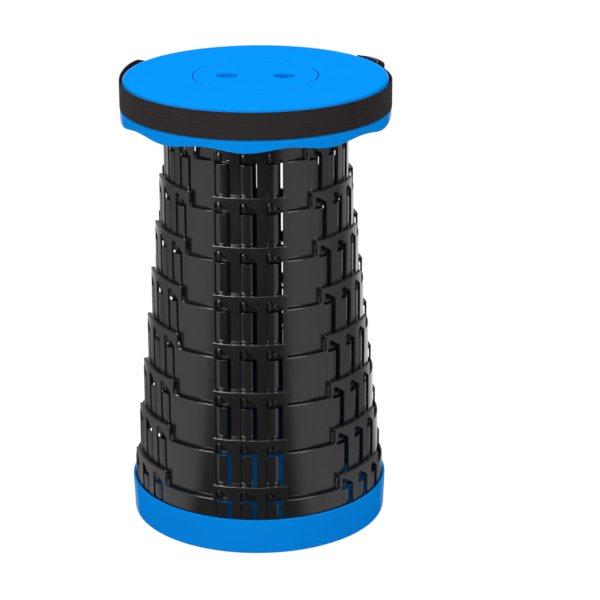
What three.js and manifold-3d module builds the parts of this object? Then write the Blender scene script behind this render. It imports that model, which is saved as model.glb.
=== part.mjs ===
// Collapsible telescopic stool: a seat and a base joined by nested rings that slide up out of each other.
// Millimetres, +Z up. The origin is on the floor under the middle of the stool, and -Y is the front.

import * as THREE from 'three';
import { mergeVertices } from 'three/addons/utils/BufferGeometryUtils.js';
import Module from 'manifold-3d';

const wasm = await Module();
wasm.setup();

// Tiers
const ringCount = 8; // rings, from 1 under the seat to 8 in the base
const tierPitch = 46.25; // rise from one rim to the next when the stool is drawn up
const lapDepth = 16.2; // how far each ring stays inside the one below
const bottomRingRadius = 122.8; // outside of the widest ring
const ringStep = 4.93; // each ring is this much smaller in radius than the one below
const wallThickness = 1.8;
const lipHeight = 3.6; // inward lip along the top of each arcade
const lipClearance = 1.1; // between a lip and the ring that slides in it
const merlonHeight = 14.4; // arcades stand this much above the plain stretches
const seatRise = 47.55; // from the rim of ring 1 to the top of the seat

// Arches: three to an arcade, measured along the wall from the arcade's left end
const arcadeCount = 6;
const archesPerArcade = 3;
const plainFacets = 2;
const archPitch = 24.7;
const arcadeStart = 2.1; // wall left of the first arch
const arcadeEnd = 4.2; // wall right of the last arch
const archWidth = 16;
const panelWidth = 11.7; // closed panel under the left of the arch; the open slot is the rest
const crownDrop = 4.0; // from the rim to the arch's highest point, over the lug
const crownWidth = 3.2;
const shoulderDrop = 2.6;
const archFall = 8.2; // the arch falls this far from its crown to the right of the slot
const sillHeight = 3.0; // band under the slot

// Lugs stand out of each ring's foot and run behind the panels of the next ring
const lugWidth = 5.8;
const lugTopWidth = 3.4;
const lugInset = 0.2; // from the left edge of the arch
const lugLift = 0.5; // from the foot of the ring

// Clearances
const gap = 0.3; // between pieces that touch or slide
const overrun = 2.0; // how far a cutter runs past what it cuts
const embed = 0.8; // how far a joined feature reaches into its carrier

// Seat shell
const seatOverhang = 3.2; // the rim wall, under the strap, stands out this much past the widest ring
const rimInset = 3.2; // width of the rounded edge
const rimRounding = 3.4; // height of the rounded edge
const roundingSteps = 2;
const plateThickness = 3.2;
const rimThickness = 1.8;
const skirtFlare = 2.6; // the skirt under the strap stands out this much
const flareHeight = 1.6;
const skirtDepth = 38.9; // mean depth of the skirt's lower edge below the top
const waveHeight = 2.1; // the lower edge swings this much up and down
const waveCount = 10;
const ribCount = 12;
const ribThickness = 1.6;
const ribHeight = 3.0;
const bossRadius = 4.2;
const bossHeight = 4.2;

// Centre cap
const capShare = 0.7078; // radius of the cap, as a share of the tube's
const capThickness = 3.2;
const capEdge = 0.6; // chamfer round the cap
const capLedge = 4.0; // width of the ledge that carries the cap
const hubWall = 2.5;
const hubDepth = 6.0;
const fingerSpacing = 54.0;
const fingerRadius = 11.0; // at the top of the dished hole
const fingerThroat = 8.2;
const fingerThroatHeight = 0.8; // upright part under the dish
const collarWall = 1.6; // tube under each finger hole
const collarDepth = 9.0; // of its foot below the top
const clipCount = 3;
const clipWidth = 9.0;
const clipBarb = 1.3;
const clipThickness = 2.0;
const clipHook = 2.6; // height of the barb

// Carrying strap round the rim; angles from the front, positive towards +X, in degrees
const strapWidth = 25.6;
const strapThickness = 1.25;
const strapDrop = 3.2; // from the seat's top to the strap's upper edge
const strapStartAngle = -118.6;
const strapEndAngle = 134.4;
const strapStepAngle = 6.0;
const strapSlack = 1.5; // the strap stands off the rim at the sides
const slackExponent = 1.6; // above 1, the slack lies nearer the ends
const rivetAngleInset = 2.6; // of the rivet from the strap's end, in degrees
const rivetRadius = 1.7;
const rivetHead = 4.0;
const rivetHeadFace = 3.0; // radius of the head's flat
const rivetHeadHeight = 0.7;

// Slider on the strap
const sliderAngle = 123.4;
const sliderHalfLength = 11.0;
const sliderRail = 2.8;
const sliderRailGap = 0.4;
const sliderBar = 3.0; // side bars, along the strap
const sliderThickness = 2.2;
const sliderMiddleBar = 3.5;
const weaveRun = 3.0; // the webbing is flat this far each side of the middle bar's centre
const weaveEnd = 7.6; // and lies on the rim again from here on

// Base
const padCount = 6;
const padHeight = 1.9;
const padRadius = 9.0;
const padPocket = 0.6; // how deep a pad sits in the floor of the base
const padInset = 24.8; // of the pads' centres from the widest ring
const baseFloor = 1.8; // thickness of the floor
const baseFoot = 0.8; // height of the base's lower edge above the ground
const baseRimHeight = 35.6;
const baseRimThickness = 2.2;
const baseTaper = 1.3; // the wall leans in this much towards the floor
const baseCorner = 1.4; // bevel round the lower edge
const baseFootWidth = 3.3;
const rimBevel = 0.6;

// Screws: pan heads under the ears of the widest and the narrowest ring
const screwCount = 3;
const screwRadius = 1.4;
const screwHeadRadius = 3.0;
const screwHeadHeight = 1.1;
const screwHole = 1.7;
const earWidth = 15.0;
const earReach = 13.0;
const earThickness = 1.9;
const earBite = 0.6; // how far an ear reaches into the ring's wall
const earScrewInset = 7.5; // of the screw from the ring's inner wall

// Faces round the turned pieces
const seatFacets = 50;
const baseFacets = 42;
const capFacets = 32;
const holeFacets = 16; // of the cap's finger holes
const smallFacets = 6;
const padFacets = 8;

// Shares
const halfShare = 0.5;
const bowShare = 0.02; // how far the sides of a folded face are bowed in while it is divided
const weldDistance = 1e-4; // vertices closer than this are one

// Worked out from the sizes above
const fullTurn = 360; // degrees
const degree = 2 * Math.PI / fullTurn;
const front = -Math.PI * halfShare;
const ringHeight = tierPitch + lapDepth;
const floorUnderside = padHeight - padPocket + gap;
const floorTop = floorUnderside + baseFloor;
const bottomRingFoot = floorTop + gap;
const nestedFoot = bottomRingFoot + earThickness + gap; // foot of every ring when the stool is closed
const bottomRingRim = nestedFoot + ringHeight;
const arcadeWidth = arcadeStart + (archesPerArcade - 1) * archPitch + archWidth + arcadeEnd;
const ringRadius = (ring) => bottomRingRadius - ringStep * (ringCount - ring);
const padCircle = bottomRingRadius - padInset;
const seatRadius = bottomRingRadius + seatOverhang;
const topFlatRadius = seatRadius - rimInset;
const capRadius = capShare * ringRadius(0);
const ringRim = (ring) => bottomRingRim + tierPitch * (ringCount - ring);
const seatTop = ringRim(1) + seatRise;
const plateUnderside = seatTop - plateThickness;
const lugHeight = lapDepth - lipHeight - gap - lugLift;

// Materials
const plastic = (color, roughness) => new THREE.MeshStandardMaterial({ color, roughness, metalness: 0 });
const bluePlastic = plastic('#0794f2', 0.42);
const blackPlastic = plastic('#2b2a29', 0.5);
const webbing = plastic('#2f2c2b', 0.9);
const rubber = plastic('#1a1a1a', 0.85);
const steel = new THREE.MeshStandardMaterial({ color: '#8d9094', roughness: 0.35, metalness: 1 });

// Solids and meshes

function solid(geometry) {
  const bare = geometry.clone();
  bare.deleteAttribute('normal');
  bare.deleteAttribute('uv');
  const merged = mergeVertices(bare, weldDistance);
  return new wasm.Manifold(new wasm.Mesh({
    numProp: 3,
    vertProperties: new Float32Array(merged.attributes.position.array),
    triVerts: new Uint32Array(merged.index.array),
  }));
}

function geometryOf(body) {
  const mesh = body.getMesh();
  const geometry = new THREE.BufferGeometry();
  geometry.setAttribute('position', new THREE.BufferAttribute(new Float32Array(mesh.vertProperties), 3));
  geometry.setIndex(new THREE.BufferAttribute(new Uint32Array(mesh.triVerts), 1));
  geometry.computeVertexNormals();
  return geometry;
}

const stool = new THREE.Group();

function addPiece(name, shape, material) {
  const geometry = shape.isBufferGeometry ? shape : geometryOf(shape);
  const mesh = new THREE.Mesh(geometry, material);
  mesh.name = name;
  stool.add(mesh);
  return mesh;
}

const point = (x, y) => new THREE.Vector2(x, y);
const evenly = (count) => Array.from({ length: count }, (_, index) => index);
const turned = (outline, facets) => new THREE.LatheGeometry(outline.map(([r, z]) => point(r, z)), facets)
  .rotateX(Math.PI / 2);
const outside = (radius, facets) => radius / Math.cos(Math.PI / facets); // clears a round of this radius

// A frame at an angle round the stool: x runs to the right seen from outside, y up and z outwards
function facing(angle) {
  const outward = new THREE.Vector3(Math.cos(angle), Math.sin(angle), 0);
  const right = new THREE.Vector3(-Math.sin(angle), Math.cos(angle), 0);
  return new THREE.Matrix4().makeBasis(right, new THREE.Vector3(0, 0, 1), outward);
}

// A block in that frame, from one radius to another
function blockAt(angle, width, low, high, inner, outer, shift = 0) {
  const block = new THREE.BoxGeometry(width, high - low, outer - inner);
  block.translate(shift, (low + high) / 2, (inner + outer) / 2);
  return solid(block.applyMatrix4(facing(angle)));
}

// An upright cylinder
function postAt(angle, distance, radius, low, high, facets = smallFacets) {
  const post = new THREE.CylinderGeometry(radius, radius, high - low, facets).rotateX(Math.PI / 2);
  post.translate(distance * Math.cos(angle), distance * Math.sin(angle), (low + high) / 2);
  return solid(post);
}

// A wall folded round the axis. Its faces are laid one by one: a corner is given by its facet, its share of
// the way across that facet, its height and its radius.
function foldedWall(folds) {
  const places = [];
  const faces = [];
  const known = new Map();

  function corner(facet, share, z, radius) {
    const fold = share === 1 ? (facet + 1) % folds.length : facet;
    const across = share === 1 ? 0 : share;
    const key = [fold, across, z, radius].map((value) => value.toFixed(4)).join(' ');
    if (!known.has(key)) {
      const [start, end] = [folds[fold], folds[(fold + 1) % folds.length]];
      const x = Math.cos(start) * (1 - across) + Math.cos(end) * across;
      const y = Math.sin(start) * (1 - across) + Math.sin(end) * across;
      known.set(key, known.size);
      places.push(radius * x, radius * y, z);
    }
    return known.get(key);
  }

  const area = ([a, b, c]) => (b[0] - a[0]) * (c[1] - a[1]) - (c[0] - a[0]) * (b[1] - a[1]);

  // Triangles of an outline with holes, turned to face the side asked for. Its sides are bowed in for the
  // division only, so that a corner partway up a side is kept.
  function fill(outline, holes, cornerAt, faceOut) {
    const all = [...outline, ...holes.flat()];
    const [widths, heights] = [0, 1].map((axis) => outline.map((spot) => spot[axis]));
    const [low, high] = [Math.min(...heights), Math.max(...heights)];
    const middle = (Math.min(...widths) + Math.max(...widths)) / 2;
    const bow = (b) => 1 - bowShare * (b - low) * (high - b) / (high - low) ** 2;
    const bowed = (a, b) => point(middle + (a - middle) * bow(b), b);
    const shape = (loop) => loop.map(([a, b]) => bowed(a, b));
    for (const triangle of THREE.ShapeUtils.triangulateShape(shape(outline), holes.map(shape))) {
      const spots = triangle.map((index) => all[index]);
      const ids = spots.map(([a, b]) => cornerAt(a, b));
      faces.push(...((area(spots) > 0) === faceOut ? ids : ids.reverse()));
    }
  }

  return {
    // A face that follows one facet at a radius; outlines are lists of [share, height]
    skin: (facet, outline, holes, radius, faceOut) => fill(
      outline, holes, (share, z) => corner(facet, share, z, radius), faceOut),
    // An upright face across a fold; its outline is a list of [radius, height]
    end: (facet, share, outline, faceLeft) => fill(
      outline, [], (radius, z) => corner(facet, share, z, radius), faceLeft),
    // Faces between two radii along a path; a path that runs to the right faces up
    strip(facet, path, outer, inner) {
      for (let i = 0; i + 1 < path.length; i += 1) {
        const [a, b] = [path[i], path[i + 1]];
        const [aOut, bOut] = [a, b].map(([share, z]) => corner(facet, share, z, outer));
        const [aIn, bIn] = [a, b].map(([share, z]) => corner(facet, share, z, inner));
        faces.push(aOut, bOut, bIn, aOut, bIn, aIn);
      }
    },
    geometry() {
      const geometry = new THREE.BufferGeometry();
      geometry.setAttribute('position', new THREE.Float32BufferAttribute(places, 3));
      geometry.setIndex(faces);
      geometry.computeVertexNormals();
      return geometry;
    },
  };
}

const closedPath = (loop) => [...loop, loop[0]];
const reversed = (loop) => [...loop].reverse();
const rectangle = (left, right, low, high) => [[left, low], [right, low], [right, high], [left, high]];

// Where the folds of a ring lie: each arcade has one facet for each arch, with folds between the arches
const arcadeFolds = [0];
for (const arch of evenly(archesPerArcade - 1)) {
  arcadeFolds.push(arcadeStart + archWidth + (archPitch - archWidth) / 2 + arch * archPitch);
}
arcadeFolds.push(arcadeWidth);

const arcadeAngle = (arcade, along, radius) => (
  front + arcade * 2 * Math.PI / arcadeCount + (along - arcadeWidth / 2) / radius);

function ringFacets(radius) {
  const facets = [];
  for (const arcade of evenly(arcadeCount)) {
    for (const arch of evenly(archesPerArcade)) {
      facets.push({ arcade, arch, angle: arcadeAngle(arcade, arcadeFolds[arch], radius) });
    }
    const start = arcadeAngle(arcade, arcadeWidth, radius);
    const end = arcadeAngle(arcade + 1, 0, radius);
    for (const plain of evenly(plainFacets)) {
      facets.push({ arcade, arch: null, angle: start + (end - start) * plain / plainFacets });
    }
  }
  return facets;
}

// Radius at the middle of the widest facet
const facetRadius = (radius) => Math.sqrt(radius ** 2 - (archPitch / 2) ** 2);

// The window of one arch: pocket with a round shoulder on the left, falling to a slot on the right
function archOutline(foot, rim) {
  const ledge = rim - lapDepth - gap;
  const crown = rim - crownDrop;
  return [
    [0, ledge], [panelWidth, ledge], [panelWidth, foot + sillHeight], [archWidth, foot + sillHeight],
    [archWidth, crown - archFall], [crownWidth, crown], [0, crown - shoulderDrop],
  ];
}

const slotOutline = (foot, rim) => rectangle(panelWidth, archWidth, foot + sillHeight, rim - lapDepth);

// One ring. The spec says which of its features it has.
function ringWall({ radius, foot, rim, windows, battlements, lugs }) {
  const facets = ringFacets(radius);
  const wall = foldedWall(facets.map((facet) => facet.angle));
  const inner = radius - wallThickness;
  const lipRadius = battlements ? radius - ringStep + lipClearance : inner;
  const lipFoot = battlements ? rim - lipHeight : rim;
  const plainRim = battlements ? rim - merlonHeight : rim;
  const lugTip = (facetRadius(radius + ringStep - wallThickness) - gap) * radius / facetRadius(radius);

  facets.forEach(({ arcade, arch }, facet) => {
    const top = arch === null ? plainRim : rim;
    const bottomEdge = [[1, foot], [0, foot]];
    wall.strip(facet, bottomEdge, radius, inner);
    if (arch === null) {
      wall.skin(facet, rectangle(0, 1, foot, top), [], radius, true);
      wall.skin(facet, rectangle(0, 1, foot, top), [], inner, false);
      wall.strip(facet, [[0, top], [1, top]], radius, inner);
      return;
    }

    const width = arcadeFolds[arch + 1] - arcadeFolds[arch];
    const archLeft = arcadeStart + arch * archPitch - arcadeFolds[arch];
    const window = windows.map(([along, z]) => [(archLeft + along) / width, z]);
    const leftEnd = battlements && arch === 0;
    const rightEnd = battlements && arch === archesPerArcade - 1;
    const outline = (high) => [
      [0, foot], [1, foot], ...(rightEnd ? [[1, plainRim]] : []), [1, high], [0, high],
      ...(leftEnd ? [[0, plainRim]] : []),
    ];

    const outerHoles = [window];
    if (lugs) {
      // The lug stands where the next ring's arch is, so it is placed by that ring's angles
      const along = arcadeStart + arch * archPitch + lugInset + lugWidth / 2;
      const middle = (arcadeAngle(arcade, along, radius + ringStep) - facets[facet].angle)
        / (width / radius);
      const across = (offset) => middle + offset / width;
      const [low, high] = [foot + lugLift, foot + lugLift + lugHeight];
      const base = [
        [across(-lugWidth / 2), low], [across(lugWidth / 2), low],
        [across(lugTopWidth / 2), high], [across(-lugTopWidth / 2), high],
      ];
      outerHoles.push(base);
      wall.skin(facet, base, [], lugTip, true);
      wall.strip(facet, reversed(closedPath(base)), lugTip, radius);
    }

    wall.skin(facet, outline(rim), outerHoles, radius, true);
    wall.skin(facet, outline(lipFoot), [window], inner, false);
    wall.strip(facet, closedPath(window), radius, inner);
    wall.strip(facet, [[0, rim], [1, rim]], radius, lipRadius);
    if (battlements) {
      wall.skin(facet, rectangle(0, 1, lipFoot, rim), [], lipRadius, false);
      wall.strip(facet, [[1, lipFoot], [0, lipFoot]], inner, lipRadius);
      const side = [
        [radius, plainRim], [radius, rim], [lipRadius, rim],
        [lipRadius, lipFoot], [inner, lipFoot], [inner, plainRim],
      ];
      if (leftEnd) wall.end(facet, 0, side, true);
      if (rightEnd) wall.end(facet, 1, side, false);
    }
  });
  return wall.geometry();
}

// Screws and the ears that they hold, midway along the plain stretches
const screwAngle = (index) => front + (index / screwCount + halfShare / arcadeCount) * 2 * Math.PI;

function withEars(geometry, radius, low) {
  const inner = radius - wallThickness;
  let ring = solid(geometry);
  for (const index of evenly(screwCount)) {
    const angle = screwAngle(index);
    const top = low + earThickness;
    ring = ring.add(blockAt(angle, earWidth, low, top, inner - earReach, inner + earBite));
    ring = ring.subtract(postAt(angle, inner - earScrewInset, screwHole, low - overrun, top + overrun));
  }
  return ring;
}

// A pan-head screw driven upwards, with its head's bearing face at the height given
function screw(length) {
  return turned([
    [0, -screwHeadHeight], [screwHeadRadius, -screwHeadHeight], [screwHeadRadius, 0],
    [screwRadius, 0], [screwRadius, length], [0, length],
  ], smallFacets);
}

function addScrews(name, distance, bearing, length) {
  for (const index of evenly(screwCount)) {
    const angle = screwAngle(index);
    const piece = addPiece(`${name}_${index + 1}`, solid(screw(length)), steel);
    piece.position.set(distance * Math.cos(angle), distance * Math.sin(angle), bearing);
  }
}

// Rings 1 to 7 slide; ring 8 is screwed to the base
for (const ring of evenly(ringCount - 1).map((index) => index + 1)) {
  const rim = ringRim(ring);
  const foot = rim - ringHeight;
  addPiece(`ring_${ring}`, ringWall({
    radius: ringRadius(ring),
    foot,
    rim,
    windows: archOutline(foot, rim),
    battlements: true,
    lugs: true,
  }), blackPlastic);
}

const bottomRing = ringWall({
  radius: bottomRingRadius,
  foot: bottomRingFoot,
  rim: bottomRingRim,
  windows: archOutline(nestedFoot, bottomRingRim),
  battlements: true,
  lugs: false,
});
addPiece(`ring_${ringCount}`, withEars(bottomRing, bottomRingRadius, bottomRingFoot), blackPlastic);

// The seat's own tube hangs from the seat and slides in ring 1
const tubeRadius = ringRadius(0);
const tubeFoot = ringRim(1) - lapDepth;
const tubeRim = plateUnderside - gap;
const earLow = plateUnderside - bossHeight - gap - earThickness;
const seatTube = ringWall({
  radius: tubeRadius,
  foot: tubeFoot,
  rim: tubeRim,
  windows: slotOutline(tubeFoot, tubeRim),
  battlements: false,
  lugs: true,
});
addPiece('seat_tube', withEars(seatTube, tubeRadius, earLow), blackPlastic);

// Seat shell: plate, rounded edge and a rim wall with a wavy lower edge
const seatInner = seatRadius - rimThickness;
const skirtLow = seatTop - skirtDepth;
const strapTop = seatTop - strapDrop;
const strapBottom = strapTop - strapWidth;
const strapMiddle = (strapTop + strapBottom) / 2;
const flareTop = strapBottom - gap;
const sliderInner = seatRadius + skirtFlare + gap; // the slider stands clear of the skirt
const capBore = outside(capRadius + gap, seatFacets);
const ledgeTop = seatTop - capThickness - gap;
const hubOuter = capBore + hubWall;

function seatGeometry() {
  const profile = [
    [capRadius - capLedge, seatTop - hubDepth], [hubOuter, seatTop - hubDepth], [hubOuter, plateUnderside],
    [seatInner, plateUnderside], [seatInner, flareTop], [seatInner + skirtFlare, flareTop - flareHeight],
    [seatInner + skirtFlare, skirtLow], [seatRadius + skirtFlare, skirtLow],
    [seatRadius + skirtFlare, flareTop - flareHeight], [seatRadius, flareTop],
    ...evenly(roundingSteps + 1).map((step) => {
      const turn = step / roundingSteps * Math.PI / 2;
      const width = (seatRadius - topFlatRadius) * Math.cos(turn);
      return [topFlatRadius + width, seatTop - rimRounding * (1 - Math.sin(turn))];
    }),
    [capBore, seatTop], [capBore, ledgeTop], [capRadius - capLedge, ledgeTop],
    [capRadius - capLedge, seatTop - hubDepth],
  ];
  const shell = turned(profile, seatFacets);
  const places = shell.attributes.position;
  for (let i = 0; i < places.count; i += 1) {
    if (Math.abs(places.getZ(i) - skirtLow) < gap) {
      const angle = Math.atan2(places.getY(i), places.getX(i));
      places.setZ(i, skirtLow - waveHeight * Math.cos(waveCount * (angle - front)));
    }
  }
  return shell;
}

const rivetAngles = {
  left: front + (strapStartAngle + rivetAngleInset) * degree,
  right: front + (strapEndAngle - rivetAngleInset) * degree,
};

// The hole that a rivet takes through the strap and the rim
function rivetCutter(angle) {
  const [inner, outer] = [seatInner - overrun, seatRadius + strapSlack + strapThickness + overrun];
  const [radius, length] = [rivetRadius + gap, outer - inner];
  const spoke = new THREE.CylinderGeometry(radius, radius, length, smallFacets).rotateX(Math.PI / 2);
  spoke.translate(0, strapMiddle, (inner + outer) / 2);
  return solid(spoke.applyMatrix4(facing(angle)));
}

function seatShell() {
  let shell = solid(seatGeometry());
  for (const index of evenly(ribCount)) {
    const angle = front + (index + halfShare) * 2 * Math.PI / ribCount;
    shell = shell.add(blockAt(
      angle, ribThickness, plateUnderside - ribHeight, plateUnderside + embed,
      tubeRadius + gap + wallThickness, seatInner + rimThickness / 2));
  }
  const bossDistance = tubeRadius - wallThickness - earScrewInset;
  for (const index of evenly(screwCount)) {
    const angle = screwAngle(index);
    const low = plateUnderside - bossHeight;
    shell = shell.add(postAt(angle, bossDistance, bossRadius, low, plateUnderside + embed));
    shell = shell.subtract(postAt(angle, bossDistance, screwHole, low - overrun, plateUnderside + embed));
  }
  for (const angle of Object.values(rivetAngles)) {
    shell = shell.subtract(rivetCutter(angle));
  }
  return shell;
}
addPiece('seat_shell', seatShell(), bluePlastic);
addScrews('seat_screw', tubeRadius - wallThickness - earScrewInset, earLow - gap,
  earThickness + bossHeight + gap);

// Centre cap with two dished finger holes and clips under the ledge
function centreCap() {
  const underside = seatTop - capThickness;
  const radius = capRadius;
  let cap = solid(turned([
    [0, underside], [radius, underside], [radius, seatTop - capEdge],
    [radius - capEdge, seatTop], [0, seatTop],
  ], capFacets));
  const collarFoot = seatTop - collarDepth;
  const collarRadius = fingerThroat + collarWall;
  for (const side of [-1, 1]) {
    const collar = turned([
      [0, collarFoot], [collarRadius, collarFoot],
      [collarRadius, underside + embed], [0, underside + embed],
    ], holeFacets);
    const hole = turned([
      [0, collarFoot - overrun], [fingerThroat, collarFoot - overrun],
      [fingerThroat, underside + fingerThroatHeight], [fingerRadius, seatTop],
      [fingerRadius, seatTop + overrun], [0, seatTop + overrun],
    ], holeFacets);
    collar.translate(side * fingerSpacing / 2, 0, 0);
    hole.translate(side * fingerSpacing / 2, 0, 0);
    cap = cap.add(solid(collar)).subtract(solid(hole));
  }
  const clipRadius = capRadius - capLedge - gap;
  const barbTop = seatTop - hubDepth - gap;
  for (const index of evenly(clipCount)) {
    const profile = new THREE.Shape([
      point(clipRadius - clipThickness, underside + embed),
      point(clipRadius - clipThickness, barbTop - clipHook), point(clipRadius, barbTop - clipHook),
      point(clipRadius + clipBarb, barbTop), point(clipRadius, barbTop), point(clipRadius, underside + embed),
    ]);
    const clip = new THREE.ExtrudeGeometry(profile, { depth: clipWidth, bevelEnabled: false });
    clip.translate(0, 0, -clipWidth / 2);
    clip.rotateX(Math.PI / 2);
    clip.rotateZ(front + index * 2 * Math.PI / clipCount);
    cap = cap.add(solid(clip));
  }
  return cap;
}
addPiece('centre_cap', centreCap(), bluePlastic);

// Strap: a band round the rim that weaves through the slider
function strapBand() {
  const lying = outside(seatRadius + gap, fullTurn / strapStepAngle);
  const lift = sliderInner + sliderThickness + gap - lying;
  const atSlider = (along) => sliderAngle + along / lying / degree;
  const slackAt = (angle) => {
    const share = angle < 0 ? angle / strapStartAngle : angle / strapEndAngle;
    return strapSlack * Math.sin(Math.PI * share ** slackExponent) ** 2;
  };
  const stations = [];
  for (let angle = strapStartAngle; angle < atSlider(-sliderHalfLength); angle += strapStepAngle) {
    stations.push([angle, slackAt(angle)]);
  }
  stations.push([atSlider(-weaveEnd), 0], [atSlider(-weaveRun), lift]);
  stations.push([atSlider(weaveRun), lift], [atSlider(weaveEnd), 0], [strapEndAngle, 0]);
  const at = ([angle, raised], extra) => {
    const radius = lying + raised + extra;
    return point(radius * Math.cos(front + angle * degree), radius * Math.sin(front + angle * degree));
  };
  const outline = new THREE.Shape([
    ...stations.map((station) => at(station, strapThickness)),
    ...reversed(stations).map((station) => at(station, 0)),
  ]);
  const band = new THREE.ExtrudeGeometry(outline, { depth: strapWidth, bevelEnabled: false });
  let strap = solid(band.translate(0, 0, strapBottom));
  for (const angle of Object.values(rivetAngles)) {
    strap = strap.subtract(rivetCutter(angle));
  }
  return strap;
}
addPiece('strap', strapBand(), webbing);

// Slider: a flat frame with a middle bar, which the webbing passes over between the two slots
function strapSlider() {
  const angle = front + sliderAngle * degree;
  const outer = sliderInner + sliderThickness;
  const [low, high] = [strapBottom - sliderRailGap, strapTop + sliderRailGap];
  let frame = blockAt(angle, 2 * sliderHalfLength, low - sliderRail, high + sliderRail, sliderInner, outer);
  const [near, far] = [sliderMiddleBar / 2, sliderHalfLength - sliderBar];
  for (const side of [-1, 1]) {
    const shift = side * (near + far) / 2;
    frame = frame.subtract(blockAt(
      angle, far - near, low, high, sliderInner - overrun, outer + overrun, shift));
  }
  return frame;
}
addPiece('strap_slider', strapSlider(), blackPlastic);

// Rivets through the strap's ends and the rim wall
for (const [side, angle] of Object.entries(rivetAngles)) {
  const headFace = outside(seatRadius + gap, fullTurn / strapStepAngle) + strapThickness + gap;
  const tailFace = seatInner - gap;
  const length = headFace - tailFace;
  const rivet = turned([
    [0, -rivetHeadHeight], [rivetHeadFace, -rivetHeadHeight], [rivetHead, 0], [rivetRadius, 0],
    [rivetRadius, length], [rivetHeadFace, length], [rivetHeadFace, length + rivetHeadHeight],
    [0, length + rivetHeadHeight],
  ], smallFacets);
  rivet.rotateX(Math.PI);
  rivet.translate(0, 0, headFace);
  rivet.applyMatrix4(new THREE.Matrix4().makeTranslation(0, 0, strapMiddle).multiply(facing(angle)));
  addPiece(`strap_rivet_${side}`, solid(rivet), steel);
}

// Base tray: floor, foot edge and a wall that stands round the widest ring
function baseTray() {
  const wallInner = outside(bottomRingRadius + gap, baseFacets);
  const rimOuter = wallInner + baseRimThickness;
  const footOuter = rimOuter - baseTaper;
  const profile = [
    [0, floorUnderside], [footOuter - baseCorner - baseFootWidth, floorUnderside],
    [footOuter - baseCorner - baseFootWidth, baseFoot], [footOuter - baseCorner, baseFoot],
    [footOuter, baseFoot + baseCorner], [rimOuter, baseRimHeight - rimBevel],
    [rimOuter - rimBevel, baseRimHeight], [wallInner, baseRimHeight], [wallInner, floorTop], [0, floorTop],
  ];
  let tray = solid(turned(profile, baseFacets));
  const screwDistance = bottomRingRadius - wallThickness - earScrewInset;
  for (const index of evenly(screwCount)) {
    tray = tray.subtract(postAt(screwAngle(index), screwDistance, screwHole, 0, floorTop + overrun));
  }
  for (const index of evenly(padCount)) {
    tray = tray.subtract(postAt(
      padAngle(index), padCircle, padRadius + gap, 0, floorUnderside + padPocket, padFacets));
  }
  return tray;
}

const padAngle = (index) => front + index * 2 * Math.PI / padCount;
addPiece('base_tray', baseTray(), bluePlastic);
addScrews('base_screw', bottomRingRadius - wallThickness - earScrewInset, floorUnderside - gap,
  baseFloor + gap + earThickness);

for (const index of evenly(padCount)) {
  const pad = new THREE.CylinderGeometry(padRadius, padRadius, padHeight, padFacets).rotateX(Math.PI / 2);
  const angle = padAngle(index);
  const piece = addPiece(`foot_pad_${index + 1}`, solid(pad), rubber);
  piece.position.set(padCircle * Math.cos(angle), padCircle * Math.sin(angle), padHeight * halfShare);
}

export default stool;
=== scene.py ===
import math
import bpy
import bmesh
from mathutils import Matrix, Vector


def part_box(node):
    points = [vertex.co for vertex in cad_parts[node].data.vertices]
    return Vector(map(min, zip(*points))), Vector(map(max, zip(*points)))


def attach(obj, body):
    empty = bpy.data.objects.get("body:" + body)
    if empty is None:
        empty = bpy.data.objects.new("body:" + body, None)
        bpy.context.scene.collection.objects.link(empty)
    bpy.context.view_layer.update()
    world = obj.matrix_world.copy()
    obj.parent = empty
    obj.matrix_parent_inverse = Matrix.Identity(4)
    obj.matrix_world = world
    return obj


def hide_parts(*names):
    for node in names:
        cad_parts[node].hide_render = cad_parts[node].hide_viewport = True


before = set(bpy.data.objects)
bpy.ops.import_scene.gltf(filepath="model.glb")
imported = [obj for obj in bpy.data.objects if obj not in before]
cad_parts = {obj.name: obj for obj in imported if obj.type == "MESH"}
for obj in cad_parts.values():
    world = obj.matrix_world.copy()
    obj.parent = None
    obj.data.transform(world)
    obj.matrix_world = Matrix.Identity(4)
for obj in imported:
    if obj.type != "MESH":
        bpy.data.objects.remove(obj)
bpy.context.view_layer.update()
mm = 0.001

# The stool's main sizes, as in the solids. The heights are read from the parts in the model.
stool = {
    "rings": 8,
    "bottomRadius": 122.8 * mm,
    "ringStep": 4.93 * mm,
    "wall": 1.8 * mm,
    "lap": 16.2 * mm,
    "gap": 0.3 * mm,
    "overrun": 1.0 * mm,  # how far a cut goes past what it cuts
    "weld": 0.01 * mm,
    "screwAngles": (30, 150, 270),  # degrees from the front
    "front": math.radians(-90),
    "seatTop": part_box("seat_shell")[1].z,
}
cornerShare = 0.49  # a rounded corner takes less than half of each side
onAxis = 0.001 * mm


# Drawing tools

def angleAt(degrees):  # degrees from the front, positive towards +X
    return stool["front"] + math.radians(degrees)


def facing(angle, distance=0.0, height=0.0):  # x to the right seen from outside, y up, z outwards
    outward = Vector((math.cos(angle), math.sin(angle), 0))
    right = Vector((-math.sin(angle), math.cos(angle), 0))
    place = Matrix((right, Vector((0, 0, 1)), outward)).transposed().to_4x4()
    place.translation = outward * distance + Vector((0, 0, height))
    return place


def rounded(corners, steps=4):  # corners (x, y, radius) of a closed outline
    points = []
    for i, (x, y, radius) in enumerate(corners):
        here = Vector((x, y))
        before = Vector(corners[i - 1][:2]) - here
        after = Vector(corners[(i + 1) % len(corners)][:2]) - here
        if radius <= 0:
            points.append(here)
            continue
        half = before.angle(after) / 2
        reach = min(radius / math.tan(half), before.length * cornerShare, after.length * cornerShare)
        start, end = here + before.normalized() * reach, here + after.normalized() * reach
        for step in range(steps + 1):
            t = step / steps
            points.append(start * (1 - t) ** 2 + here * 2 * t * (1 - t) + end * t ** 2)
    return points


def rectangle(left, right, low, high):
    return [(left, low), (right, low), (right, high), (left, high)]


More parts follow.
